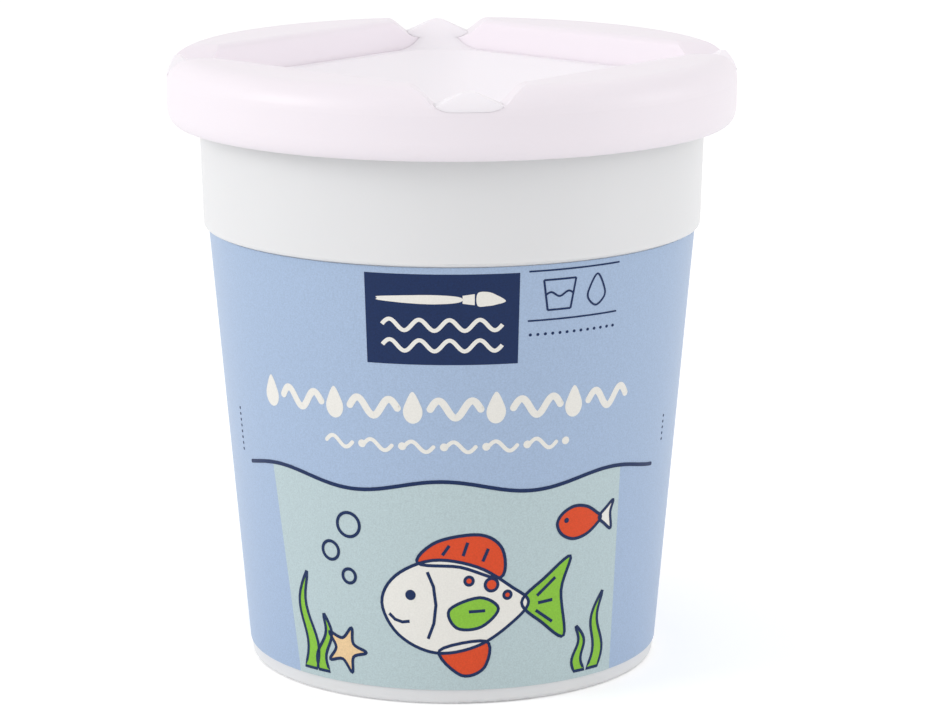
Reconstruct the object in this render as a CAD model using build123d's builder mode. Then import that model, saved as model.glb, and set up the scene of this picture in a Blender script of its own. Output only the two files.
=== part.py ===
"""A brush washer: a tapered pot with a printed wrap, a lid with four raised brush rests,
and a lift-out funnel that keeps the water in when the pot is knocked over.

Millimetres, +Z up. The pot's axis is the Z axis and its foot stands on Z = 0. -Y is the front.
"""

import os
from math import cos, radians, sqrt, tan

from build123d import *

os.makedirs("parts", exist_ok=True)

# Driving dimensions of the pot
base_radius = 32.5  # outside of the wall, carried down to the table
wall_top_radius = 38.5  # outside of the wall, just under the collar
collar_z = 70.3  # lower edge of the wide collar
collar_height = 19.7  # from the collar's lower edge to the top of the rim
collar_step = 1.0  # how far the collar's lower edge stands out from the wall
collar_flare = 0.5  # how much further out the collar is at its top
rim_overhang = 3.4  # how far the turned-down rim stands out from the collar
rim_lip_depth = 2.6  # how far the rim's outer lip turns down
rim_edge_radius = 0.4
pot_wall = 1.3
pot_floor = 1.4
foot_width = 5.0
foot_recess = 0.8
base_corner_radius = 0.8
floor_corner_radius = 2.5
collar_edge_radius = 0.6

# Driving dimensions of the printed wrap
wrap_thickness = 0.15
wrap_glue = 0.05  # adhesive between the film and the wall
wrap_low_z = 2.5
wrap_top_gap = 0.2
wrap_seam_angle = 0.6  # degrees left open where the two ends meet, at the back

# Driving dimensions of the lid
lid_wall = 1.3
rest_height = 6.3  # from the deck that the funnel sits on to the top of the rests
skirt_depth = 4.55  # how far the skirt hangs below the top of the deck
lid_top_fillet = 4.0
skirt_edge_height = 2.6  # of the rounding round the skirt's lower edge
lid_turn = 3.7  # degrees the lid is turned on the pot
rest_count = 4
pocket_corner_inset = 0.6  # from the lid's rim in to each corner of the square pocket
pocket_draft = 14.0  # degrees the straight walls lean back
notch_sill_height = 2.9  # from the deck to the low sill across each notch
notch_sill_half_width = 2.6
notch_half_width = 8.6  # where the ends of the rests reach their full height
notch_toe_reach = 3.2  # pulls the foot of a rest's end out flat
notch_lip_reach = 2.0  # pulls the top of a rest's end back, to round it over
notch_lip_drop = 0.4
rest_edge_radius = 1.4
ledge_width = 1.8  # how far the deck stands in from the foot of the pocket's walls
plug_depth = 7.7  # how far the plug reaches down from the deck's underside
plug_wall = 1.2
rib_thickness = 1.0
rib_angles = (-22.0, 0.0, 22.0)  # degrees either side of each rest's middle

# Driving dimensions of the funnel
funnel_wall = 1.2
dish_depth = 6.8  # from the deck down to the throat, where the dish runs into the tube
throat_radius = 13.0  # outside of the tube, at its top
tube_end_radius = 10.2  # outside of the tube, at its bottom
tube_length = 35.0
tab_root_step = 0.4  # of flat plate between the dish and the foot of a tab
tab_crest_drop = 0.5  # below the top of the rests
tab_crest_inset = 1.9  # from the lid's rim in to the tab's crest
tab_crest_width = 1.2  # of the crest's rounding, in and out
tab_crown = 0.15  # how far the ring's crest stands above the ridge that trims it
tab_side_slope = 26.0  # degrees
tab_tip_radius = 3.0
tab_shoulder_drop = 3.4  # below the top of the rests, where the outer face starts to lean in

# Clearances
slip_gap = 0.3  # sliding faces of pieces that come apart
tab_gap = 0.03  # between a tab and the notch that it lies in
plate_gap = 0.1  # between the plate and the leaning walls, which it leaves as it lifts
seat_gap = 0.2  # under a piece that rests on another
cut_past = 1.0  # how far a cutter runs past the face that it opens

# Sizes that follow from the ones above
wall_slope = (wall_top_radius - base_radius) / collar_z
collar_low_radius = wall_top_radius + collar_step
collar_high_radius = collar_low_radius + collar_flare
rim_z = collar_z + collar_height
rim_radius = collar_high_radius + rim_overhang
lid_radius = rim_radius + slip_gap + lid_wall
deck_low_z = rim_z + seat_gap
deck_z = deck_low_z + lid_wall
lid_top_z = deck_z + rest_height
skirt_low_z = deck_z - skirt_depth
notch_sill_z = deck_z + notch_sill_height
pocket_half_side = (lid_radius - pocket_corner_inset) / sqrt(2)
collar_inside_low_radius = collar_low_radius - pot_wall
collar_inside_high_radius = collar_high_radius - pot_wall
shoulder_step = collar_inside_low_radius - (wall_top_radius - pot_wall)
plug_low_z = deck_low_z - plug_depth
plug_radius = collar_inside_low_radius - slip_gap
rib_root_radius = plug_radius - plug_wall / 2
pocket_low_half_side = pocket_half_side - rest_height * tan(radians(pocket_draft))
deck_half_side = pocket_low_half_side - ledge_width
ledge_corner_radius = plug_radius - plug_wall - slip_gap
pocket_angle = lid_turn + 45
plate_half_side = pocket_low_half_side - plate_gap
plate_low_z = deck_z + seat_gap
plate_top_z = plate_low_z + funnel_wall
dish_half_side = deck_half_side - slip_gap
dish_reach = ledge_corner_radius - slip_gap
throat_z = deck_z - dish_depth
throat_low_z = throat_z - funnel_wall
funnel_end_z = throat_low_z - tube_length
tab_root_radius = dish_reach + tab_root_step
tab_crest_z = lid_top_z - tab_crest_drop
tab_crest_radius = lid_radius - tab_crest_inset
tab_shoulder_z = lid_top_z - tab_shoulder_drop


def wall_radius(z):
    """Outside radius of the bare wall at a height."""
    return base_radius + wall_slope * z


def square_in_circle(half_side, reach):
    """Corner radius that keeps a rounded square's corners within a circle."""
    return (half_side * sqrt(2) - reach) / (sqrt(2) - 1)


def notch_plane(angle):
    """Plane across a notch: its x runs along the rim, its y is up and it faces outwards."""
    outward = Vector(1, 0, 0).rotate(Axis.Z, angle)
    along_rim = Vector(0, 1, 0).rotate(Axis.Z, angle)
    return Plane(origin=(0, 0, 0), x_dir=along_rim, z_dir=outward)


def round_corner(sketch, corner, radius):
    """Round the corner of a sketch that lies at a point."""
    fillet(sketch.vertices().sort_by_distance(corner)[0], radius)


notch_angles = [lid_turn + 360 / rest_count * step for step in range(rest_count)]
rest_angles = [pocket_angle + 360 / rest_count * step for step in range(rest_count)]

# The lid and the tabs are turned from a section midway between two notches, so that the
# seam of a turned face never crosses a notch
section_plane = Plane.XZ.rotated((0, 0, pocket_angle))


# The pot: one tapered moulding with a rounded foot, a wide collar and a turned-down rim
floor_radius = wall_radius(foot_recess + pot_floor) - pot_wall
with BuildPart() as pot:
    with BuildSketch(Plane.XZ) as pot_section:
        with BuildLine():
            Polyline(
                (0, foot_recess),
                (base_radius - base_corner_radius - foot_width, foot_recess),
                (base_radius - base_corner_radius - foot_width, 0),
                (base_radius, 0),
                (wall_top_radius, collar_z),
                (collar_low_radius, collar_z),
                (collar_high_radius, rim_z - pot_wall),
                (rim_radius - pot_wall, rim_z - pot_wall),
                (rim_radius - pot_wall, rim_z - rim_lip_depth),
                (rim_radius, rim_z - rim_lip_depth),
                (rim_radius, rim_z),
                (collar_inside_high_radius, rim_z),
                (collar_inside_low_radius, collar_z + shoulder_step),
                (wall_top_radius - pot_wall, collar_z),
                (floor_radius, foot_recess + pot_floor),
                (0, foot_recess + pot_floor),
                close=True,
            )
        make_face()
        round_corner(pot_section, (base_radius, 0), base_corner_radius)
        round_corner(pot_section, (collar_low_radius, collar_z), collar_edge_radius)
        round_corner(pot_section, (rim_radius, rim_z), rim_edge_radius)
        round_corner(pot_section, (floor_radius, foot_recess + pot_floor), floor_corner_radius)
    revolve(axis=Axis.Z)
pot.part.label = "pot"
export_step(pot.part, "parts/pot.step")


# The wrap: a thin printed film round the tapered wall, its two ends meeting at the back
wrap_high_z = collar_z - wrap_top_gap
wrap_low_radius = wall_radius(wrap_low_z) + wrap_glue
wrap_high_radius = wall_radius(wrap_high_z) + wrap_glue
with BuildPart() as wrap_label:
    with BuildSketch(Plane.XZ.rotated((0, 0, 90 + wrap_seam_angle / 2))):
        with BuildLine():
            Polyline(
                (wrap_low_radius, wrap_low_z),
                (wrap_low_radius + wrap_thickness, wrap_low_z),
                (wrap_high_radius + wrap_thickness, wrap_high_z),
                (wrap_high_radius, wrap_high_z),
                close=True,
            )
        make_face()
    revolve(axis=Axis.Z, revolution_arc=360 - wrap_seam_angle)
wrap_label.part.label = "wrap_label"
export_step(wrap_label.part, "parts/wrap_label.step")


# What parts the four rests: a square pocket in the middle and a notch at each of its corners
def notch_section(plane, grow):
    """A notch seen across the rim, a flat sill between two S-shaped ends, each side moved
    out and down by grow."""
    sill_half_width = notch_sill_half_width + grow
    sill_z = notch_sill_z - grow
    half_width = notch_half_width + grow
    lip_z = lid_top_z - grow
    past_z = lid_top_z + cut_past
    with BuildSketch(plane) as section:
        with BuildLine():
            Bezier(
                (sill_half_width, sill_z),
                (sill_half_width + notch_toe_reach, sill_z),
                (half_width - notch_lip_reach, lip_z - notch_lip_drop),
                (half_width, lip_z),
            )
            Polyline(
                (half_width, lip_z),
                (half_width, past_z),
                (-half_width, past_z),
                (-half_width, lip_z),
            )
            Bezier(
                (-half_width, lip_z),
                (notch_lip_reach - half_width, lip_z - notch_lip_drop),
                (-sill_half_width - notch_toe_reach, sill_z),
                (-sill_half_width, sill_z),
            )
            Line((-sill_half_width, sill_z), (sill_half_width, sill_z))
        make_face()
    return section.sketch


def notch_cutter(grow):
    """Four bars with the section of a notch, from inside the pocket out past the rim."""
    with BuildPart() as cutter:
        for angle in notch_angles:
            section = notch_section(notch_plane(angle).offset(lid_radius / 2), grow)
            extrude(section, amount=lid_radius)
    return cutter.part


def pocket_cutter(low_z, grow):
    """The square pocket with leaning walls, each wall moved out by grow, down to low_z."""
    with BuildPart() as cutter:
        with BuildSketch(Plane.XY.offset(lid_top_z)):
            side = 2 * (pocket_half_side + grow)
            Rectangle(side, side, rotation=pocket_angle)
        extrude(amount=low_z - lid_top_z, taper=pocket_draft)
    return cutter.part


notches = notch_cutter(0)
notch_walls = notch_cutter(lid_wall)
pocket = pocket_cutter(deck_z, 0)
pocket_walls = pocket_cutter(deck_low_z, lid_wall)


# The hollows under the rests: what is left inside the rim between the straight walls, the
# notches, the plug and the ribs
with BuildPart() as rest_hollows:
    with BuildSketch(section_plane) as hollow_section:
        with BuildLine():
            Polyline(
                (0, deck_low_z),
                (lid_radius - lid_wall, deck_low_z),
                (lid_radius - lid_wall, lid_top_z - lid_wall),
                (0, lid_top_z - lid_wall),
                close=True,
            )
        make_face()
        outer_corner = (lid_radius - lid_wall, lid_top_z - lid_wall)
        round_corner(hollow_section, outer_corner, lid_top_fillet - lid_wall)
    revolve(axis=Axis.Z)
    add(pocket_walls, mode=Mode.SUBTRACT)
    add(notch_walls, mode=Mode.SUBTRACT)
    with BuildSketch(Plane.XY.offset(deck_low_z)):
        Circle(plug_radius)
        Circle(plug_radius - plug_wall, mode=Mode.SUBTRACT)
    extrude(amount=lid_top_z - deck_low_z, mode=Mode.SUBTRACT)
    for rest_angle in rest_angles:
        for rib_angle in rib_angles:
            with BuildSketch(notch_plane(rest_angle + rib_angle).offset(rib_root_radius)):
                with Locations((0, deck_low_z)):
                    Rectangle(
                        rib_thickness,
                        lid_top_z - deck_low_z,
                        align=(Align.CENTER, Align.MIN),
                    )
            extrude(amount=lid_radius - rib_root_radius, mode=Mode.SUBTRACT)


# The lid: a rolled skirt over the pot's rim, four hollow rests with a notch between each
# pair, a deck for the funnel and a plug that seals inside the pot's mouth
with BuildPart() as lid_ring:
    with BuildSketch(section_plane) as lid_section:
        with BuildLine():
            EllipticalCenterArc(
                (lid_radius - lid_wall, skirt_low_z + skirt_edge_height),
                lid_wall,
                skirt_edge_height,
                start_angle=270,
                arc_size=90,
            )
            Polyline(
                (lid_radius, skirt_low_z + skirt_edge_height),
                (lid_radius, lid_top_z),
                (0, lid_top_z),
                (0, deck_low_z),
                (lid_radius - lid_wall, deck_low_z),
                (lid_radius - lid_wall, skirt_low_z),
            )
        make_face()
        round_corner(lid_section, (lid_radius, lid_top_z), lid_top_fillet)
    revolve(axis=Axis.Z)
    add(pocket, mode=Mode.SUBTRACT)
    add(notches, mode=Mode.SUBTRACT)
    top_lines = lid_ring.edges().filter_by_position(Axis.Z, lid_top_z, lid_top_z)
    long_lines = top_lines.filter_by(GeomType.LINE).sort_by(SortBy.LENGTH)[-rest_count:]
    fillet(long_lines, rest_edge_radius)
    add(rest_hollows.part, mode=Mode.SUBTRACT)
    with BuildSketch(Plane.XY.offset(deck_low_z)):
        RectangleRounded(
            2 * deck_half_side,
            2 * deck_half_side,
            square_in_circle(deck_half_side, ledge_corner_radius),
            rotation=pocket_angle,
        )
    extrude(amount=lid_wall, mode=Mode.SUBTRACT)
    with BuildSketch(Plane.XY.offset(plug_low_z)):
        Circle(plug_radius)
        Circle(plug_radius - plug_wall, mode=Mode.SUBTRACT)
    extrude(amount=plug_depth + lid_wall / 2)
lid_ring.part.label = "lid_ring"
export_step(lid_ring.part, "parts/lid_ring.step")


# The four upturned corner tabs of the funnel. Each is a short piece of a ring that rises to
# a crest. Inside the pocket it follows the pocket's corner, and above the sill it spreads
# over the feet of the rests, under a rounded ridge
ridge_fall = tan(radians(tab_side_slope))
ridge_z = tab_crest_z + tab_tip_radius * (1 / cos(radians(tab_side_slope)) - 1)
ridge_end_z = ridge_z - ridge_fall * notch_half_width

with BuildPart() as tab_bars:
    for angle in notch_angles:
        with BuildSketch(notch_plane(angle).offset(lid_radius / 2)) as bar_section:
            with BuildLine():
                Polyline(
                    (-notch_half_width, deck_z),
                    (notch_half_width, deck_z),
                    (notch_half_width, ridge_end_z),
                    (0, ridge_z),
                    (-notch_half_width, ridge_end_z),
                    close=True,
                )
            make_face()
            round_corner(bar_section, (0, ridge_z), tab_tip_radius)
        extrude(amount=lid_radius)
    add(notch_cutter(-tab_gap), mode=Mode.INTERSECT)

with BuildPart() as tab_limits:
    add(pocket_cutter(plate_low_z, -plate_gap))
    split(bisect_by=Plane.XY.offset(notch_sill_z + tab_gap), keep=Keep.BOTTOM)
    add(tab_bars.part)

with BuildPart() as tabs:
    with BuildSketch(section_plane):
        with BuildLine():
            crest = (tab_crest_radius, tab_crest_z + tab_crown)
            shoulder = (lid_radius, tab_shoulder_z)
            Line((tab_root_radius, plate_low_z), (tab_root_radius, plate_top_z))
            Bezier(
                (tab_root_radius, plate_top_z),
                ((tab_root_radius + tab_crest_radius) / 2, plate_top_z),
                (tab_crest_radius - tab_crest_width / 2, tab_crest_z + tab_crown),
                crest,
            )
            Bezier(
                crest,
                (tab_crest_radius + tab_crest_width / 2, tab_crest_z + tab_crown),
                (lid_radius, tab_shoulder_z + tab_crest_width),
                shoulder,
            )
            Polyline(shoulder, (lid_radius, plate_low_z), (tab_root_radius, plate_low_z))
        make_face()
    revolve(axis=Axis.Z)
    add(tab_limits.part, mode=Mode.INTERSECT)


# The funnel: a square plate resting on the deck, a dish with rounded corners that runs down
# to a round throat, a tapered tube below it and a tab at each corner to lift it by
dish_corner_radius = square_in_circle(dish_half_side, dish_reach)

with BuildPart() as dish_hollow:
    with BuildSketch(Plane.XY.offset(plate_top_z)):
        RectangleRounded(
            2 * dish_half_side, 2 * dish_half_side, dish_corner_radius, rotation=pocket_angle
        )
    with BuildSketch(Plane.XY.offset(throat_z)):
        Circle(throat_radius - funnel_wall)
    loft()

with BuildPart() as funnel_insert:
    with BuildSketch(Plane.XY.offset(plate_low_z)):
        RectangleRounded(
            2 * dish_half_side, 2 * dish_half_side, dish_corner_radius, rotation=pocket_angle
        )
    with BuildSketch(Plane.XY.offset(throat_low_z)):
        Circle(throat_radius)
    loft()
    with BuildSketch(Plane.XY.offset(plate_low_z)):
        Rectangle(2 * plate_half_side, 2 * plate_half_side, rotation=pocket_angle)
    extrude(amount=funnel_wall)
    add(tabs.part)
    with BuildSketch(Plane.XZ):
        with BuildLine():
            Polyline(
                (0, funnel_end_z),
                (tube_end_radius, funnel_end_z),
                (throat_radius, throat_low_z),
                (0, throat_low_z),
                close=True,
            )
        make_face()
    revolve(axis=Axis.Z)
    add(dish_hollow.part, mode=Mode.SUBTRACT)
    with BuildSketch(Plane.XZ):
        with BuildLine():
            Polyline(
                (0, funnel_end_z),
                (tube_end_radius - funnel_wall, funnel_end_z),
                (throat_radius - funnel_wall, throat_z),
                (0, throat_z),
                close=True,
            )
        make_face()
    revolve(axis=Axis.Z, mode=Mode.SUBTRACT)
funnel_insert.part.label = "funnel_insert"
export_step(funnel_insert.part, "parts/funnel_insert.step")
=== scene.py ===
import math

import bmesh
import bpy
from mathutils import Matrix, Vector


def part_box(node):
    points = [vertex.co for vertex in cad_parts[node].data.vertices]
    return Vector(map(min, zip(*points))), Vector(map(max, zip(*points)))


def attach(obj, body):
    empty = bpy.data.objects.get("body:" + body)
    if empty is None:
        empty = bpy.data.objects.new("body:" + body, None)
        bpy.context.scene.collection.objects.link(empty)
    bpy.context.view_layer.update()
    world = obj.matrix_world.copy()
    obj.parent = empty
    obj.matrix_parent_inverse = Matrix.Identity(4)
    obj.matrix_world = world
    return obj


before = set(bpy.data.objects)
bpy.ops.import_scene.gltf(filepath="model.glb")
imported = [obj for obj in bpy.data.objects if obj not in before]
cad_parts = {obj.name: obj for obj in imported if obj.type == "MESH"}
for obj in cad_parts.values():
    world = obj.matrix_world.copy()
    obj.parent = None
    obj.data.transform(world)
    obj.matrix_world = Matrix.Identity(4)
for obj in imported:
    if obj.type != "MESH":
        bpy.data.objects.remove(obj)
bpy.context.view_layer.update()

MM = 0.001
CAMERA_PLACE = (3.66 * MM, -571.27 * MM, 174.07 * MM)
CAMERA_DROP = math.radians(12.523)
LENS_MM = 137.87
SENSOR_MM = 36.0
NEAREST_SEEN = 10 * MM
FLOOR_REACH = 3.0

camera = bpy.data.objects.new("camera", bpy.data.cameras.new("camera"))
camera.data.sensor_width = SENSOR_MM
camera.data.lens = LENS_MM
camera.data.clip_start = NEAREST_SEEN
camera.location = CAMERA_PLACE
camera.rotation_euler = (math.radians(90) - CAMERA_DROP, 0.0, 0.0)
bpy.context.scene.collection.objects.link(camera)
bpy.context.scene.camera = camera
bpy.context.scene.view_settings.view_transform = "Standard"


def soft_lamp(name, place, aim, size, watts):
    """A round soft lamp that stands at place and faces aim."""
    lamp = bpy.data.objects.new(name, bpy.data.lights.new(name, "AREA"))
    lamp.data.shape = "DISK"
    lamp.data.size = size
    lamp.data.energy = watts
    lamp.location = place
    lamp.rotation_euler = (Vector(aim) - Vector(place)).to_track_quat("-Z", "Y").to_euler()
    bpy.context.scene.collection.objects.link(lamp)


soft_lamp("left_lamp", place=(-0.85, -0.30, 0.50), aim=(0.0, 0.0, 0.06), size=0.50, watts=2.2)
soft_lamp("right_lamp", place=(0.85, -0.05, 0.30), aim=(0.0, 0.0, 0.05), size=0.45, watts=0.9)


def seen_directly(nodes, links):
    """1 for what the camera sees itself, in a mirror or through clear plastic, else 0."""
    path = nodes.new("ShaderNodeLightPath")
    first = nodes.new("ShaderNodeMath")
    first.operation = "MAXIMUM"
    links.new(path.outputs["Is Camera Ray"], first.inputs[0])
    links.new(path.outputs["Is Glossy Ray"], first.inputs[1])
    second = nodes.new("ShaderNodeMath")
    second.operation = "MAXIMUM"
    links.new(first.outputs[0], second.inputs[0])
    links.new(path.outputs["Is Transmission Ray"], second.inputs[1])
    return second.outputs[0]


ROOM_LIGHT = 0.84
room = bpy.data.worlds.new("white_room")
room.use_nodes = True
room_nodes = room.node_tree.nodes
room_links = room.node_tree.links
room_strength = room_nodes.new("ShaderNodeMapRange")
room_strength.inputs["To Min"].default_value = ROOM_LIGHT
room_strength.inputs["To Max"].default_value = 1.0
room_links.new(seen_directly(room_nodes, room_links), room_strength.inputs["Value"])
room_nodes["Background"].inputs["Color"].default_value = (1.0, 1.0, 1.0, 1.0)
room_links.new(room_strength.outputs["Result"], room_nodes["Background"].inputs["Strength"])
bpy.context.scene.world = room

FLOOR_COLOUR = (0.90, 0.90, 0.90, 1.0)
FLOOR_ROUGHNESS = 0.9
FLOOR_GLOW = 0.30  # lifts the lit floor to white for the camera and leaves the shadow
sweep = bpy.data.materials.new("white_sweep")
sweep.use_nodes = True
sweep_nodes = sweep.node_tree.nodes
sweep_links = sweep.node_tree.links
sweep_nodes["Principled BSDF"].inputs["Base Color"].default_value = FLOOR_COLOUR
sweep_nodes["Principled BSDF"].inputs["Roughness"].default_value = FLOOR_ROUGHNESS
sweep_nodes["Principled BSDF"].inputs["Specular IOR Level"].default_value = 0.0
glow = sweep_nodes.new("ShaderNodeMath")
glow.operation = "MULTIPLY"
glow.inputs[1].default_value = FLOOR_GLOW
sweep_links.new(seen_directly(sweep_nodes, sweep_links), glow.inputs[0])
sweep_nodes["Principled BSDF"].inputs["Emission Color"].default_value = (1.0, 1.0, 1.0, 1.0)
sweep_links.new(glow.outputs[0], sweep_nodes["Principled BSDF"].inputs["Emission Strength"])

floor_mesh = bpy.data.meshes.new("floor")
floor_corners = [(-1, -1), (1, -1), (1, 1), (-1, 1)]
floor_points = [(x * FLOOR_REACH, y * FLOOR_REACH, 0) for x, y in floor_corners]
floor_mesh.from_pydata(floor_points, [], [(0, 1, 2, 3)])
floor_mesh.materials.append(sweep)
floor = bpy.data.objects.new("floor", floor_mesh)
bpy.context.scene.collection.objects.link(floor)

# ---------------------------------------------------------------------------------------
# The pot: one moulding in milky polypropylene, which lets a little light through its wall.
# The mould leaves a satin skin with a faint orange-peel and a slight clouding of the milk.
POT_WHITE = (0.800, 0.800, 0.810)
POT_ROUGHNESS = (0.30, 0.42)
POT_SCATTER = 0.25  # share of the light that runs on inside the wall
POT_CLOUD_SCALE = 45.0  # per metre
POT_PEEL_SCALE = 900.0
PLASTIC_IOR = 1.49
SCATTER_SPREAD = (1.0, 0.92, 0.88)  # red light runs a little further than blue
SCATTER_DEPTH = 1.6 * MM
CLOUD_DARK = 0.975  # times the plastic's colour
CLOUD_LIGHT = 1.02
PEEL_STRENGTH = 0.10
PEEL_DEPTH = 0.05 * MM
NOISE_RANGE = (0.3, 0.7)  # most of a noise's values lie between these


def milky_plastic(name, colour, roughness, scatter, cloud_scale, peel_scale):
    """A satin moulded plastic: clouded colour, uneven polish, orange-peel and light inside."""
    plastic = bpy.data.materials.new(name)
    plastic.use_nodes = True
    nodes = plastic.node_tree.nodes
    links = plastic.node_tree.links
    skin = nodes["Principled BSDF"]
    skin.inputs["IOR"].default_value = PLASTIC_IOR
    skin.inputs["Subsurface Weight"].default_value = scatter
    skin.inputs["Subsurface Radius"].default_value = SCATTER_SPREAD
    skin.inputs["Subsurface Scale"].default_value = SCATTER_DEPTH
    place = nodes.new("ShaderNodeTexCoord")
    cloud = nodes.new("ShaderNodeTexNoise")
    cloud.inputs["Scale"].default_value = cloud_scale
    cloud.inputs["Detail"].default_value = 3.0
    links.new(place.outputs["Object"], cloud.inputs["Vector"])
    tint = nodes.new("ShaderNodeMix")
    tint.data_type = "RGBA"
    tint.inputs["A"].default_value = tuple(c * CLOUD_DARK for c in colour) + (1.0,)
    tint.inputs["B"].default_value = tuple(min(c * CLOUD_LIGHT, 0.98) for c in colour) + (1.0,)
    links.new(cloud.outputs["Fac"], tint.inputs["Factor"])
    links.new(tint.outputs["Result"], skin.inputs["Base Color"])
    polish = nodes.new("ShaderNodeMapRange")
    polish.inputs["From Min"].default_value = NOISE_RANGE[0]
    polish.inputs["From Max"].default_value = NOISE_RANGE[1]
    polish.inputs["To Min"].default_value = roughness[0]
    polish.inputs["To Max"].default_value = roughness[1]
    links.new(cloud.outputs["Fac"], polish.inputs["Value"])
    links.new(polish.outputs["Result"], skin.inputs["Roughness"])
    peel = nodes.new("ShaderNodeTexNoise")
    peel.inputs["Scale"].default_value = peel_scale
    peel.inputs["Detail"].default_value = 2.0
    links.new(place.outputs["Object"], peel.inputs["Vector"])
    bump = nodes.new("ShaderNodeBump")
    bump.inputs["Strength"].default_value = PEEL_STRENGTH
    bump.inputs["Distance"].default_value = PEEL_DEPTH
    links.new(peel.outputs["Fac"], bump.inputs["Height"])
    links.new(bump.outputs["Normal"], skin.inputs["Normal"])
    return plastic


def dress(node, material):
    """Gives every slot of a carried-over solid one material."""
    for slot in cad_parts[node].material_slots:
        slot.material = material


pot_plastic = milky_plastic(
    "pot_polypropylene", POT_WHITE, POT_ROUGHNESS, POT_SCATTER, POT_CLOUD_SCALE, POT_PEEL_SCALE
)
dress("pot", pot_plastic)

# ---------------------------------------------------------------------------------------
# The wrap: a clear-coated film printed in a halftone, glued round the pot's tapered wall.
# Its colour is made of fine dots, so it has a grain, and its coat shows soft reflections.
FILM_BLUE = (0.400, 0.513, 0.700)
GRAIN_SCALE = 4200.0
GRAIN_STRENGTH = 0.07
FILM_COAT = 0.20
FILM_COAT_ROUGHNESS = 0.22
FILM_SPECULAR = 0.15
FILM_ROUGHNESS = (0.42, 0.55)


def printed_film(name, colour, grain=GRAIN_STRENGTH):
    """A halftone ink under a clear satin coat."""
    film = bpy.data.materials.new(name)
    film.use_nodes = True
    nodes = film.node_tree.nodes
    links = film.node_tree.links
    skin = nodes["Principled BSDF"]
    skin.inputs["Coat Weight"].default_value = FILM_COAT
    skin.inputs["Coat Roughness"].default_value = FILM_COAT_ROUGHNESS
    skin.inputs["Specular IOR Level"].default_value = FILM_SPECULAR
    place = nodes.new("ShaderNodeTexCoord")
    dots = nodes.new("ShaderNodeTexNoise")
    dots.inputs["Scale"].default_value = GRAIN_SCALE
    dots.inputs["Detail"].default_value = 1.0
    links.new(place.outputs["Object"], dots.inputs["Vector"])
    spread = nodes.new("ShaderNodeMapRange")
    spread.inputs["From Min"].default_value = NOISE_RANGE[0]
    spread.inputs["From Max"].default_value = NOISE_RANGE[1]
    links.new(dots.outputs["Fac"], spread.inputs["Value"])
    tint = nodes.new("ShaderNodeMix")
    tint.data_type = "RGBA"
    tint.inputs["A"].default_value = tuple(c * (1 - grain) for c in colour) + (1.0,)
    tint.inputs["B"].default_value = tuple(min(c * (1 + grain), 0.95) for c in colour) + (1.0,)
    links.new(spread.outputs["Result"], tint.inputs["Factor"])
    links.new(tint.outputs["Result"], skin.inputs["Base Color"])
    sheen = nodes.new("ShaderNodeMapRange")
    sheen.inputs["To Min"].default_value = FILM_ROUGHNESS[0]
    sheen.inputs["To Max"].default_value = FILM_ROUGHNESS[1]
    links.new(dots.outputs["Fac"], sheen.inputs["Value"])
    links.new(sheen.outputs["Result"], skin.inputs["Roughness"])
    return film


dress("wrap_label", printed_film("film_blue", FILM_BLUE))

# ---------------------------------------------------------------------------------------
# The sea panel and the water line: an aqua field from the wrap's lower edge up to a wavy
# line. Like all the print it is drawn flat, as the film was printed, and laid on the cone.
film_low, film_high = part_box("wrap_label")
MEASURE_BAND = 0.2 * MM


def film_radius_at(height):
    """The radius of the film's outer face near a height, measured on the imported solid."""
    points = [v.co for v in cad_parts["wrap_label"].data.vertices]
    return max(math.hypot(p.x, p.y) for p in points if abs(p.z - height) < MEASURE_BAND)


FLAT_RADIUS = 35.6  # mm: 1 mm of the flat drawing is this arc round the cone
film_low_radius = film_radius_at(film_low.z)
film_slope = (film_radius_at(film_high.z) - film_low_radius) / (film_high.z - film_low.z)
film_root_radius = film_low_radius - film_slope * film_low.z
INK_SINK = 0.02  # mm that each ink reaches into the film
INK_STEP = 0.016  # mm from one ink to the next that is printed over it
STRIP_WIDTH = 1.0  # mm: how finely a flat shape is cut before it is bent
SAME_POINT = 0.001 * MM
FIELD_INK, FILL_INK, BODY_INK, MARK_INK, LINE_INK = 1, 2, 3, 4, 5  # the order of printing


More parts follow.
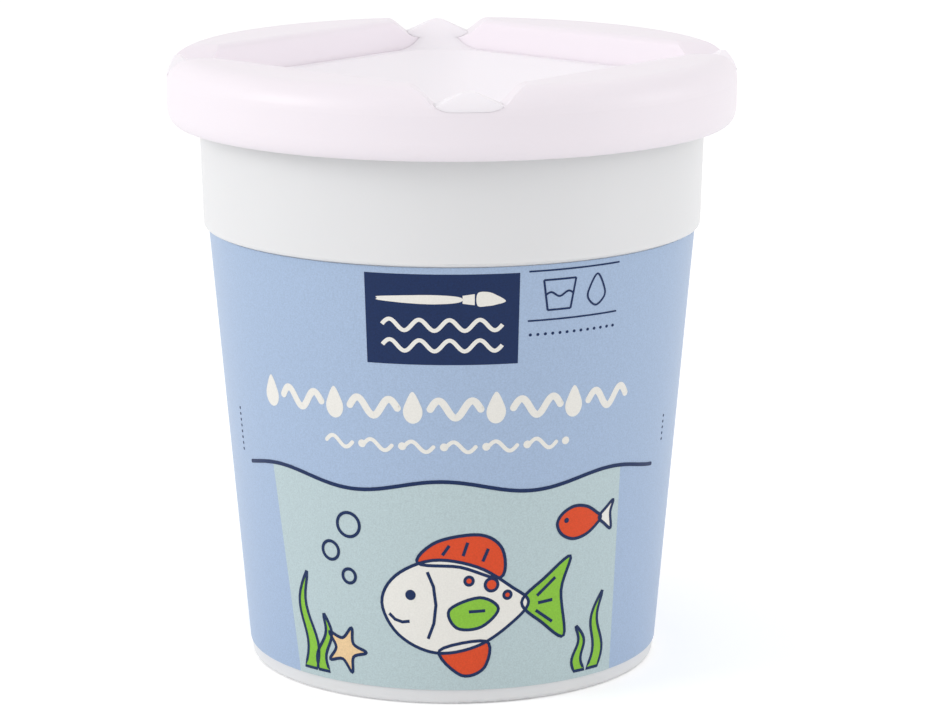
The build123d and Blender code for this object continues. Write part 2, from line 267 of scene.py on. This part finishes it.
def make_print_tree():
    """Copies a flat shape, bends it round the cone, thickens it outwards and inks it."""
    tree = bpy.data.node_groups.new("lay_on_cone", "GeometryNodeTree")
    sockets = tree.interface
    sockets.new_socket("Geometry", in_out="INPUT", socket_type="NodeSocketGeometry")
    sockets.new_socket("Copies", in_out="INPUT", socket_type="NodeSocketInt")
    sockets.new_socket("Step", in_out="INPUT", socket_type="NodeSocketVector")
    sockets.new_socket("Flat Radius", in_out="INPUT", socket_type="NodeSocketFloat")
    sockets.new_socket("Root Radius", in_out="INPUT", socket_type="NodeSocketFloat")
    sockets.new_socket("Slope", in_out="INPUT", socket_type="NodeSocketFloat")
    sockets.new_socket("Thickness", in_out="INPUT", socket_type="NodeSocketFloat")
    sockets.new_socket("Ink", in_out="INPUT", socket_type="NodeSocketMaterial")
    sockets.new_socket("Geometry", in_out="OUTPUT", socket_type="NodeSocketGeometry")
    nodes = tree.nodes
    links = tree.links
    given = nodes.new("NodeGroupInput")
    result = nodes.new("NodeGroupOutput")

    places = nodes.new("GeometryNodeMeshLine")
    links.new(given.outputs["Copies"], places.inputs["Count"])
    links.new(given.outputs["Step"], places.inputs["Offset"])
    copies = nodes.new("GeometryNodeInstanceOnPoints")
    links.new(places.outputs["Mesh"], copies.inputs["Points"])
    links.new(given.outputs["Geometry"], copies.inputs["Instance"])
    real = nodes.new("GeometryNodeRealizeInstances")
    links.new(copies.outputs["Instances"], real.inputs["Geometry"])

    def maths(operation, first, second=None):
        node = nodes.new("ShaderNodeMath")
        node.operation = operation
        links.new(first, node.inputs[0])
        if second is not None:
            links.new(second, node.inputs[1])
        return node.outputs[0]

    flat = nodes.new("GeometryNodeInputPosition")
    parts = nodes.new("ShaderNodeSeparateXYZ")
    links.new(flat.outputs["Position"], parts.inputs["Vector"])
    angle = maths("DIVIDE", parts.outputs["X"], given.outputs["Flat Radius"])
    growth = maths("MULTIPLY", parts.outputs["Y"], given.outputs["Slope"])
    radius = maths("ADD", given.outputs["Root Radius"], growth)
    bent = nodes.new("ShaderNodeCombineXYZ")
    links.new(maths("MULTIPLY", radius, maths("SINE", angle)), bent.inputs["X"])
    forward = maths("MULTIPLY", radius, maths("COSINE", angle))
    behind = nodes.new("ShaderNodeMath")
    behind.operation = "MULTIPLY"
    behind.inputs[1].default_value = -1.0
    links.new(forward, behind.inputs[0])
    links.new(behind.outputs[0], bent.inputs["Y"])
    links.new(parts.outputs["Y"], bent.inputs["Z"])
    bend = nodes.new("GeometryNodeSetPosition")
    links.new(real.outputs["Geometry"], bend.inputs["Geometry"])
    links.new(bent.outputs["Vector"], bend.inputs["Position"])

    thicken = nodes.new("GeometryNodeExtrudeMesh")
    thicken.inputs["Individual"].default_value = False
    links.new(bend.outputs["Geometry"], thicken.inputs["Mesh"])
    links.new(given.outputs["Thickness"], thicken.inputs["Offset Scale"])
    underside = nodes.new("GeometryNodeFlipFaces")
    links.new(bend.outputs["Geometry"], underside.inputs["Mesh"])
    joined = nodes.new("GeometryNodeJoinGeometry")
    links.new(thicken.outputs["Mesh"], joined.inputs["Geometry"])
    links.new(underside.outputs["Mesh"], joined.inputs["Geometry"])
    closed = nodes.new("GeometryNodeMergeByDistance")
    closed.inputs["Distance"].default_value = SAME_POINT
    links.new(joined.outputs["Geometry"], closed.inputs["Geometry"])
    whole = nodes.new("GeometryNodeRealizeInstances")
    links.new(closed.outputs["Geometry"], whole.inputs["Geometry"])
    inked = nodes.new("GeometryNodeSetMaterial")
    links.new(whole.outputs["Geometry"], inked.inputs["Geometry"])
    links.new(given.outputs["Ink"], inked.inputs["Material"])
    links.new(inked.outputs["Geometry"], result.inputs["Geometry"])
    return tree


print_tree = make_print_tree()


def cut_in_strips(shape):
    """Cuts a flat mesh into upright strips, so that it can follow the cone."""
    xs = [v.co.x for v in shape.verts]
    strip = STRIP_WIDTH * MM
    for index in range(math.ceil(min(xs) / strip), math.floor(max(xs) / strip) + 1):
        everything = shape.verts[:] + shape.edges[:] + shape.faces[:]
        bmesh.ops.bisect_plane(
            shape, geom=everything, dist=SAME_POINT, plane_co=(index * strip, 0, 0), plane_no=(1, 0, 0)
        )


def lay_print(name, outlines, ink, layer, bands=(), copies=1, step=(0.0, 0.0)):
    """Prints filled outlines and bands, drawn flat in mm, on the film as one closed piece."""
    shape = bmesh.new()
    for outline in outlines:
        corners = [shape.verts.new((x * MM, z * MM, 0)) for x, z in outline]
        shape.faces.new(corners)
    for left, right in bands:
        left_edge = [shape.verts.new((x * MM, z * MM, 0)) for x, z in left]
        right_edge = [shape.verts.new((x * MM, z * MM, 0)) for x, z in right]
        for i in range(len(left) - 1):
            shape.faces.new((left_edge[i], left_edge[i + 1], right_edge[i + 1], right_edge[i]))
    bmesh.ops.remove_doubles(shape, verts=shape.verts[:], dist=SAME_POINT)
    bmesh.ops.triangulate(shape, faces=shape.faces[:], ngon_method="EAR_CLIP")
    for face in shape.faces:
        face.normal_update()
        if face.normal.z < 0:
            face.normal_flip()
    cut_in_strips(shape)
    flat_mesh = bpy.data.meshes.new(name + "_flat")
    shape.to_mesh(flat_mesh)
    shape.free()
    flat = bpy.data.objects.new(name + "_flat", flat_mesh)
    bpy.context.scene.collection.objects.link(flat)
    laying = flat.modifiers.new("laying", "NODES")
    laying.node_group = print_tree
    values = {
        "Copies": copies,
        "Step": (step[0] * MM, step[1] * MM, 0.0),
        "Flat Radius": FLAT_RADIUS * MM,
        "Root Radius": film_root_radius - INK_SINK * MM,
        "Slope": film_slope,
        "Thickness": (INK_SINK + layer * INK_STEP) * MM,
        "Ink": ink,
    }
    for socket in print_tree.interface.items_tree:
        if socket.in_out == "INPUT" and socket.name in values:
            laying[socket.identifier] = values[socket.name]
    bpy.context.view_layer.update()
    seen = flat.evaluated_get(bpy.context.evaluated_depsgraph_get())
    mesh = bpy.data.meshes.new_from_object(seen)
    mesh.name = name
    flat.modifiers.remove(laying)
    bpy.data.objects.remove(flat)
    piece = bpy.data.objects.new(name, mesh)
    bpy.context.scene.collection.objects.link(piece)
    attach(piece, "pot")
    return piece


def band(points, width, closed=False):
    """The two edges of a line of even width drawn through points."""
    count = len(points)
    left = []
    right = []
    for i, (x, z) in enumerate(points):
        before = points[i - 1] if closed or i > 0 else points[i]
        after = points[(i + 1) % count] if closed or i < count - 1 else points[i]
        along = Vector((after[0] - before[0], after[1] - before[1])).normalized()
        across = Vector((-along.y, along.x)) * width / 2
        left.append((x + across.x, z + across.y))
        right.append((x - across.x, z - across.y))
    if closed:
        left.append(left[0])
        right.append(right[0])
    return left, right


def disc(x, z, radius, points=28):
    """A round outline."""
    turns = [2 * math.pi * i / points for i in range(points)]
    return [(x + radius * math.cos(t), z + radius * math.sin(t)) for t in turns]


NAVY = (0.005, 0.022, 0.092)
OFF_WHITE = (0.860, 0.840, 0.790)
AQUA = (0.510, 0.622, 0.645)
NAVY_GRAIN = 0.12
WHITE_GRAIN = 0.03
navy_ink = printed_film("ink_navy", NAVY, NAVY_GRAIN)
white_ink = printed_film("ink_off_white", OFF_WHITE, WHITE_GRAIN)
aqua_ink = printed_film("ink_aqua", AQUA)

WATER_HEIGHT = 35.5
WAVE_RISE = 0.95
WAVE_LENGTH = 28.0  # mm of the flat drawing from crest to crest
WAVE_START = -1.3
WATER_REACH = 37.9
WATER_LINE_WIDTH = 0.58
PANEL_LEFT = (-31.5, -28.6)  # at the water line, at the wrap's lower edge
PANEL_RIGHT = (29.2, 30.3)
PANEL_POINTS = 61
WATER_POINTS = 121


def water(x):
    """Height of the water line."""
    return WATER_HEIGHT + WAVE_RISE * math.cos(2 * math.pi * (x - WAVE_START) / WAVE_LENGTH)


def even_steps(start, end, count):
    """Evenly spaced values from start to end."""
    return [start + (end - start) * i / (count - 1) for i in range(count)]


panel_low = film_low.z / MM
panel_top = [(x, water(x)) for x in even_steps(PANEL_LEFT[0], PANEL_RIGHT[0], PANEL_POINTS)]
panel_outline = [(PANEL_LEFT[1], panel_low), (PANEL_RIGHT[1], panel_low)] + panel_top[::-1]
lay_print("print_sea_panel", [panel_outline], aqua_ink, FIELD_INK)

water_line = [(x, water(x)) for x in even_steps(-WATER_REACH, WATER_REACH, WATER_POINTS)]
line_ends = [disc(x, z, WATER_LINE_WIDTH / 2) for x, z in (water_line[0], water_line[-1])]
water_band = band(water_line, WATER_LINE_WIDTH)
lay_print("print_water_line", line_ends, navy_ink, MARK_INK, bands=[water_band])

# ---------------------------------------------------------------------------------------
# The navy plate: a dark field printed near the top of the wrap. A brush over two rows of
# waves is printed on it in off-white ink.
PLATE_X = (-12.2, 9.75)
PLATE_Z = (55.0, 69.1)
plate_middle = (PLATE_X[0] + PLATE_X[1]) / 2
plate_low = [(x, PLATE_Z[0]) for x in PLATE_X]
plate_high = [(x, PLATE_Z[1]) for x in reversed(PLATE_X)]
lay_print("print_plate", [plate_low + plate_high], navy_ink, FIELD_INK)


def smooth_loop(points, per_span=6):
    """A closed curve through points, as an outline."""
    loop = []
    count = len(points)
    for i in range(count):
        p0, p1, p2, p3 = (Vector(points[(i + k - 1) % count]) for k in range(4))
        for step in range(per_span):
            t = step / per_span
            curve = 2 * p1 + (p2 - p0) * t + (2 * p0 - 5 * p1 + 4 * p2 - p3) * t ** 2
            curve += (3 * p1 - p0 - 3 * p2 + p3) * t ** 3
            loop.append((curve.x / 2, curve.y / 2))
    return loop


def wavelet(start, height, length, rise, periods, count=41):
    """Points of a wave that starts at a place and runs to the right."""
    xs = even_steps(0.0, length, count)
    return [(start + x, height + rise * math.sin(2 * math.pi * periods * x / length)) for x in xs]


BRUSH_Z = 65.2
BRUSH_HANDLE = [(-9.2, 0.0), (-8.7, 0.34), (-2.0, 0.72), (2.4, 0.42), (2.4, -0.42), (-2.0, -0.72),
                (-8.7, -0.34)]
BRUSH_FERRULE = [(2.9, 0.62), (4.6, 0.86), (4.6, -0.86), (2.9, -0.62)]
BRUSH_TIP = [(5.0, 0.95), (6.4, 1.15), (7.7, 0.62), (9.0, -0.35), (7.7, -0.85), (6.4, -1.05), (5.0, -0.95)]
PLATE_WAVE_HEIGHTS = (61.2, 58.0)
PLATE_WAVE_LENGTH = 17.2
PLATE_WAVE_RISE = 0.85
PLATE_WAVE_COUNT = 4
PLATE_WAVE_POINTS = 81
PLATE_WAVE_WIDTH = 0.62


def moved(outline, x, z, size=1.0):
    """An outline at another place and size."""
    return [(x + px * size, z + pz * size) for px, pz in outline]


brush_parts = (smooth_loop(BRUSH_HANDLE), BRUSH_FERRULE, smooth_loop(BRUSH_TIP))
brush = [moved(part, plate_middle, BRUSH_Z) for part in brush_parts]
wave_left = plate_middle - PLATE_WAVE_LENGTH / 2
plate_waves = []
for wave_z in PLATE_WAVE_HEIGHTS:
    wave = wavelet(
        wave_left, wave_z, PLATE_WAVE_LENGTH, PLATE_WAVE_RISE, PLATE_WAVE_COUNT, PLATE_WAVE_POINTS
    )
    plate_waves.append(band(wave, PLATE_WAVE_WIDTH))
lay_print("print_plate_emblem", brush, white_ink, FILL_INK, bands=plate_waves)

# ---------------------------------------------------------------------------------------
# The two rules beside the plate, with a cup and a drop drawn in line between them. All are
# thin navy print, as are the dotted line under them and the dots at the wrap's sides.
RULE_X = (11.06, 25.8)
RULE_HEIGHTS = (69.2, 61.5)
RULE_WIDTH = 0.26
RULE_POINTS = 16
ICON_LINE = 0.30
rule_xs = even_steps(RULE_X[0], RULE_X[1], RULE_POINTS)
rules = [band([(x, z) for x in rule_xs], RULE_WIDTH) for z in RULE_HEIGHTS]
CUP = [(14.0, 63.0), (17.6, 63.0), (18.3, 67.7), (13.3, 67.7)]
DROP = [(21.9, 67.9), (23.2, 65.7), (23.3, 64.2), (21.9, 63.0), (20.5, 64.2), (20.6, 65.7)]
cup_corners = CUP + CUP[:1]
icons = []
for i in range(len(CUP)):
    icons.append(band([cup_corners[i], cup_corners[i + 1]], ICON_LINE))
cup_water = wavelet(start=13.7, height=65.4, length=4.2, rise=0.35, periods=1.5)
icons.append(band(cup_water, ICON_LINE))
icons.append(band(smooth_loop(DROP), ICON_LINE, closed=True))
lay_print("print_rules_and_icons", [], navy_ink, FILL_INK, bands=rules + icons)
DOT_RADIUS = 0.24
DOT_POINTS = 10


def dot_row(name, x, z, count, step):
    """A row of small navy dots that starts at a place."""
    lay_print(name, [disc(x, z, DOT_RADIUS, DOT_POINTS)], navy_ink, FIELD_INK, copies=count, step=step)


dot_row("print_dotted_line", x=11.5, z=59.3, count=13, step=(1.15, 0.0))
dot_row("print_left_dots", x=-41.0, z=36.5, count=8, step=(0.0, 0.95))
dot_row("print_right_dots", x=41.4, z=38.0, count=5, step=(0.0, 0.95))

# ---------------------------------------------------------------------------------------
# The two ornament rows: a bold row of drops and wavelets over a light row of wavelets and
# dots. Both are printed straight on the film in off-white ink.
BOLD_Z = 48.0
BOLD_WIDTH = 1.1
BOLD_DROP_X = -30.2
TEAR = [(0.0, 2.7), (1.15, 0.7), (1.45, -0.7), (0.95, -1.9), (0.0, -2.35), (-0.95, -1.9),
        (-1.45, -0.7), (-1.15, 0.7)]


def round_ends(wave, width):
    """Discs that round off both ends of a band along a wave."""
    return [disc(x, z, width / 2) for x, z in (wave[0], wave[-1])]


bold_wave = wavelet(start=-27.6, height=BOLD_Z, length=7.4, rise=1.35, periods=1.5)
bold_drop = smooth_loop(moved(TEAR, BOLD_DROP_X, BOLD_Z))
lay_print(
    "print_bold_row",
    [bold_drop] + round_ends(bold_wave, BOLD_WIDTH),
    white_ink,
    FIELD_INK,
    bands=[band(bold_wave, BOLD_WIDTH)],
    copies=5,
    step=(12.3, 0.0),
)
LIGHT_Z = 42.0
LIGHT_WIDTH = 0.62
light_wave = wavelet(start=-19.6, height=LIGHT_Z, length=4.4, rise=0.8, periods=1.0)
light_dot = disc(-13.6, LIGHT_Z, LIGHT_WIDTH)
lay_print(
    "print_light_row",
    [light_dot] + round_ends(light_wave, LIGHT_WIDTH),
    white_ink,
    FIELD_INK,
    bands=[band(light_wave, LIGHT_WIDTH)],
    copies=6,
    step=(6.3, 0.0),
)

# ---------------------------------------------------------------------------------------
# The sea picture: a plump fish, a small one, weed, a starfish and bubbles. Each is printed
# in one flat ink, and a navy line round each is printed last.
LINE = 0.50
LIME = (0.262, 0.565, 0.050)
ORANGE = (0.745, 0.076, 0.020)
PEACH = (0.870, 0.620, 0.350)
lime_ink = printed_film("ink_lime", LIME)
orange_ink = printed_film("ink_orange", ORANGE)
peach_ink = printed_film("ink_peach", PEACH)

BODY = [(-9.6, 0.4), (-7.6, 4.2), (-2.6, 6.5), (3.2, 5.6), (8.0, 2.6), (10.4, 0.4), (8.2, -2.2),
        (3.4, -5.2), (-2.4, -6.1), (-7.4, -3.8)]
TAIL = [(9.4, 0.4), (12.6, 3.4), (16.4, 5.9), (15.2, 1.4), (16.0, -4.9), (12.4, -2.6)]
TOP_FIN = [(-4.6, 6.1), (-2.0, 9.0), (3.6, 9.9), (6.6, 7.8), (6.4, 4.0), (1.0, 5.6)]
SIDE_FIN = [(-0.4, -0.2), (3.6, 1.4), (6.2, -0.2), (3.9, -2.6), (0.6, -2.7)]
LOW_FIN = [(-1.8, -5.8), (1.2, -9.2), (4.4, -8.2), (4.6, -4.6)]
GILL = [(-3.3, 4.9), (-2.5, 2.9), (-2.2, 0.4), (-2.5, -2.1), (-3.3, -4.2)]
SMILE = [(-8.6, -1.0), (-7.8, -1.75), (-6.8, -2.05), (-5.8, -1.9)]
FIN_RAYS = [
    [(-1.3, 7.2), (-0.4, 8.5)],
    [(1.4, 7.1), (2.0, 8.9)],
    [(4.0, 6.3), (4.7, 8.0)],
    [(11.6, 1.1), (14.2, 3.3)],
    [(11.8, 0.1), (13.9, 0.3)],
    [(11.5, -0.9), (14.0, -2.7)],
    [(2.2, -0.5), (4.4, -0.4)],
]
SPOTS = [(5.2, 3.1, 0.85), (7.4, 1.6, 0.5), (2.2, 3.7, 0.55)]
BIG = 1.2
BIG_X = 0.2
BIG_Z = 16.0
SMALL = 0.42
SMALL_X = 21.2
SMALL_Z = 28.4


def fish_part(outline):
    """An outline of the plump fish as a smooth loop in its place on the wrap."""
    return smooth_loop(moved(outline, BIG_X, BIG_Z, BIG))


body = fish_part(BODY)
tail = fish_part(TAIL)
top_fin = fish_part(TOP_FIN)
side_fin = fish_part(SIDE_FIN)
low_fin = fish_part(LOW_FIN)
small_body = smooth_loop(moved(BODY, SMALL_X, SMALL_Z, SMALL))
small_tail = smooth_loop(moved(TAIL, SMALL_X, SMALL_Z, SMALL))
STAR_ARMS = 5
STAR_X = -18.3
STAR_Z = 8.0
STAR_TIP = 3.9  # radius at the end of an arm
STAR_CROTCH = 1.85  # radius between two arms
STAR_TURN = 0.35
star_corners = []
for i in range(2 * STAR_ARMS):
    reach = STAR_TIP if i % 2 == 0 else STAR_CROTCH
    turn = math.pi / STAR_ARMS * i + STAR_TURN
    star_corners.append((STAR_X + reach * math.sin(turn), STAR_Z + reach * math.cos(turn)))
star = smooth_loop(star_corners)
WEED_FOOT = 1.2  # above the wrap's lower edge
WEED_SWING = 2.2 * math.pi
WEED_TAPER = 0.6
WEED_TIP = 0.05
WEED_POINTS = 15


def weed(x, height, sway, width, lean=0.0):
    """A ribbon of weed that grows from the bottom and narrows to its tip."""
    left = []
    right = []
    for t in even_steps(0.0, 1.0, WEED_POINTS):
        centre = x + lean * t + sway * math.sin(WEED_SWING * t)
        half = width / 2 * (1 - t) ** WEED_TAPER + WEED_TIP
        left.append((centre - half, panel_low + WEED_FOOT + height * t))
        right.append((centre + half, panel_low + WEED_FOOT + height * t))
    return left + right[::-1]


weeds = [
    weed(-25.9, 16.0, 0.9, 2.6),
    weed(-22.9, 9.5, -0.7, 2.2, 1.0),
    weed(25.8, 12.5, 0.8, 2.4, 0.8),
    weed(23.0, 7.5, -0.6, 2.1, -0.8),
]
lay_print("print_lime", weeds + [tail], lime_ink, FILL_INK)
lay_print("print_orange", [top_fin, low_fin, small_body], orange_ink, FILL_INK)
lay_print("print_peach", [star], peach_ink, FILL_INK)
lay_print("print_small_tail", [small_tail], white_ink, FILL_INK)
lay_print("print_body", [body], white_ink, BODY_INK)
spots = [disc(BIG_X + x * BIG, BIG_Z + z * BIG, radius * BIG) for x, z, radius in SPOTS]
lay_print("print_spots", spots, orange_ink, MARK_INK)
lay_print("print_side_fin", [side_fin], lime_ink, MARK_INK)
EYE_RADIUS = 0.85
SMALL_EYE_RADIUS = 0.42
eye = disc(BIG_X - 5.6 * BIG, BIG_Z + 1.7 * BIG, EYE_RADIUS)
small_eye = disc(SMALL_X - 2.4, SMALL_Z + 0.6, SMALL_EYE_RADIUS, 14)
outlines = [body, tail, top_fin, side_fin, low_fin, small_body, small_tail, star] + weeds + spots
line_bands = [band(outline, LINE, closed=True) for outline in outlines]
BUBBLES = [(-16.9, 20.2, 1.15), (-20.1, 24.0, 1.5), (-16.6, 28.6, 1.95)]
for x, z, radius in BUBBLES:
    line_bands.append(band(disc(x, z, radius), LINE, closed=True))
for stroke in [GILL, SMILE] + FIN_RAYS:
    line_bands.append(band(moved(stroke, BIG_X, BIG_Z, BIG), LINE))
lay_print("print_lines", [eye, small_eye], navy_ink, LINE_INK, bands=line_bands)

# ---------------------------------------------------------------------------------------
# The lid: a nearly opaque white moulding with a faint pink cast and a satin skin, pushed
# over the pot's rim.
LID_WHITE = (0.920, 0.855, 0.910)
LID_ROUGHNESS = (0.36, 0.46)
LID_SCATTER = 0.10
LID_CLOUD_SCALE = 40.0
LID_PEEL_SCALE = 700.0
lid_plastic = milky_plastic(
    "lid_polypropylene", LID_WHITE, LID_ROUGHNESS, LID_SCATTER, LID_CLOUD_SCALE, LID_PEEL_SCALE
)
dress("lid_ring", lid_plastic)

# ---------------------------------------------------------------------------------------
# The funnel: a thinner, clearer moulding than the lid, so more light runs through it. It
# rests on the lid's deck, with its corner tabs over the sills.
FUNNEL_WHITE = (0.965, 0.915, 0.970)
FUNNEL_ROUGHNESS = (0.32, 0.42)
FUNNEL_SCATTER = 0.15
FUNNEL_CLOUD_SCALE = 40.0
FUNNEL_PEEL_SCALE = 800.0
funnel_plastic = milky_plastic(
    "funnel_polypropylene",
    FUNNEL_WHITE,
    FUNNEL_ROUGHNESS,
    FUNNEL_SCATTER,
    FUNNEL_CLOUD_SCALE,
    FUNNEL_PEEL_SCALE,
)
dress("funnel_insert", funnel_plastic)
